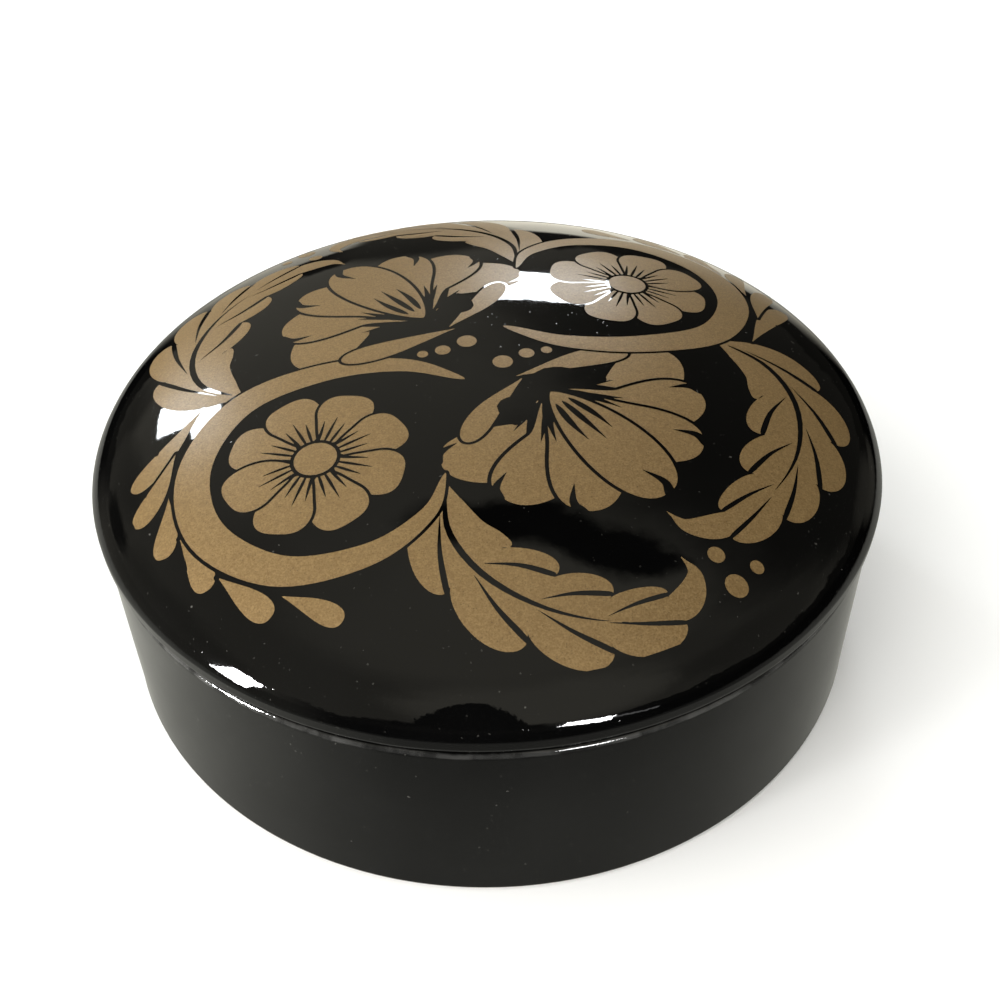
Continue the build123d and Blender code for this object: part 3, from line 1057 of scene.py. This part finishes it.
world = bpy.data.worlds.new("studio")
scene.world = world
world.use_nodes = True
w = Tree(world.node_tree)
wout = w.node("ShaderNodeOutputWorld")
bg = w.node("ShaderNodeBackground")
world.node_tree.links.new(bg.outputs[0], wout.inputs[0])
d0 = w.vec("NORMALIZE", w.node("ShaderNodeTexCoord").outputs["Generated"])
stir = w.node("ShaderNodeTexNoise", noise_dimensions="3D")
w.put(stir.inputs["Vector"], d0)
stir.inputs["Scale"].default_value = 5.0
stir.inputs["Detail"].default_value = 4.0
stir.inputs["Roughness"].default_value = 0.55
d = w.vec("NORMALIZE", w.vec("ADD", d0, w.vec("MULTIPLY", w.vec("SUBTRACT", stir.outputs["Color"], (0.5, 0.5, 0.5)), (0.22, 0.22, 0.22))))
sep = w.node("ShaderNodeSeparateXYZ")
w.put(sep.inputs[0], d)
dx, dy, dz = sep.outputs
sep0 = w.node("ShaderNodeSeparateXYZ")
w.put(sep0.inputs[0], d0)
hx, hy, hz = sep0.outputs


def grey(v):
    return (v, v * 0.95, v * 0.79, 1.0)


def spot(tone, az, el, inner, outer, value, way=None):
    """A soft round patch of one brightness on the room's walls, its radii in degrees."""
    c = w.vec("DOT_PRODUCT", way or d, tuple(aim(az, el)))
    return w.mix(w.step(c, math.cos(math.radians(outer)), math.cos(math.radians(inner))), tone, grey(value))


# the room: dim walls, lighter in front to the right, dark behind to the right, and a pale ceiling
tone = spot(grey(0.27), 168, 38, 19, 38, 0.55)
tone = spot(tone, 45, 22, 24, 50, 0.045)
tone = spot(tone, 108, 21, 11, 26, 0.18)
tone = spot(tone, -25, 38, 12, 30, 0.34)
tone = spot(tone, -92, 2, 16, 34, 0.17)
tone = spot(tone, -44, 4, 6, 16, 0.09)
tone = spot(tone, -55, 17, 5, 13, 0.16)
tone = spot(tone, -65.5, 8, 4.5, 9.5, 0.02)
tone = w.mix(w.step(dz, 0.80, 0.975), tone, grey(0.46))
# a dark beam under the ceiling behind
beam = w.step(w.math("ABSOLUTE", w.math("SUBTRACT", dz, 0.893)), 0.040, 0.018)
beam = w.math("MULTIPLY", beam, w.step(w.vec("DOT_PRODUCT", w.vec("NORMALIZE", w.vec("MULTIPLY", d, (1, 1, 0))), tuple(aim(18, 0))), 0.74, 0.86))
tone = w.mix(beam, tone, grey(0.004))
# a dark card in front, with wide low shoulders
fwd_d = tuple(aim(186, 0))
acr_d = tuple(aim(276, 0))
fore = w.vec("DOT_PRODUCT", d0, fwd_d)
fore1 = w.math("MAXIMUM", fore, 0.02)
side = w.math("DIVIDE", w.vec("DOT_PRODUCT", d0, acr_d), fore1)
rise = w.math("DIVIDE", hz, fore1)
brow = w.math("SUBTRACT", 1.04, w.math("MULTIPLY", w.math("MULTIPLY", side, side), 14.0))
wob = w.math("MULTIPLY", w.math("SUBTRACT", w.noise(d0, 9.0, 3.0, 0.6), 0.5), 0.22)
card = w.step(w.math("ADD", w.math("SUBTRACT", brow, rise), wob), -0.03, 0.04)
low = w.math("MULTIPLY", w.step(w.math("ADD", rise, w.math("MULTIPLY", wob, 0.6)), 0.26, 0.17), w.step(w.math("ABSOLUTE", w.math("SUBTRACT", side, 0.02)), 0.50, 0.30))
card = w.math("MULTIPLY", w.math("MAXIMUM", card, low), w.math("GREATER_THAN", fore, 0.02))
tone = w.mix(card, tone, grey(0.002))
# furniture along the skyline
sky = w.step(w.math("ADD", hz, w.math("MULTIPLY", w.math("SUBTRACT", w.noise(w.vec("MULTIPLY", d0, (1, 1, 0.4)), 4.2, 4.0, 0.62), 0.5), 0.42)), 0.10, 0.13)
left = w.step(w.vec("DOT_PRODUCT", w.vec("NORMALIZE", w.vec("MULTIPLY", d0, (1, 1, 0))), tuple(aim(-96, 0))), 0.70, 0.90)
tone = w.mix(w.math("MULTIPLY", w.math("SUBTRACT", 1.0, sky), w.math("SUBTRACT", 1.0, left)), tone, grey(0.02))
tone = spot(tone, 63, 4, 5, 12, 0.12, d0)
tone = spot(tone, -4.5, 4, 5, 9, 0.06, d0)
# under the skyline the room is dark, but for the lit ground behind and a dim patch to the left
under = w.step(w.vec("DOT_PRODUCT", d0, tuple(aim(2, -13))), math.cos(math.radians(33)), math.cos(math.radians(18)), 0.0, 1.0)
down = w.mix(under, grey(0.001), grey(0.80))
down = spot(down, 10, -8, 6, 16, 1.6, d0)
down = spot(down, -4.0, -1, 4.5, 7.5, 0.06, d0)
down = spot(down, 59, -4, 5, 12, 0.12, d0)
down = spot(down, -96, -6, 30, 48, 0.14, d0)
tone = w.mix(w.step(hz, -0.035, 0.0), down, tone)
seen = w.node("ShaderNodeLightPath").outputs["Is Camera Ray"]
w.put(bg.inputs[0], w.mix(seen, tone, (0.93, 0.93, 0.925, 1)))
bg.inputs[1].default_value = 1.0

# ---- camera --------------------------------------------------------------------
cam = bpy.data.cameras.new("camera")
cam.lens = 43.3616
cam.sensor_width = 36.0
cam.sensor_fit = "HORIZONTAL"
cam.clip_start = 0.005
cam.clip_end = 20.0
cam_ob = bpy.data.objects.new("camera", cam)
scene.collection.objects.link(cam_ob)
e = math.radians(42.1859)
yaw, pitch, roll = 0.01272, -0.00149, -0.01889
fwd = Vector((math.sin(yaw) * math.cos(e + pitch), math.cos(yaw) * math.cos(e + pitch), -math.sin(e + pitch)))
right = Vector((math.cos(yaw), -math.sin(yaw), 0))
up_v = right.cross(fwd)
cx = right * math.cos(roll) + up_v * math.sin(roll)
cy = -right * math.sin(roll) + up_v * math.cos(roll)
R = Matrix((cx, cy, -fwd)).transposed().to_4x4()
cam_ob.matrix_world = Matrix.Translation(Vector((0, -0.13228, 0.13608))) @ R
scene.camera = cam_ob

scene.view_settings.view_transform = "Standard"
scene.view_settings.look = "None"
scene.view_settings.exposure = 0.0
scene.view_settings.gamma = 1.0
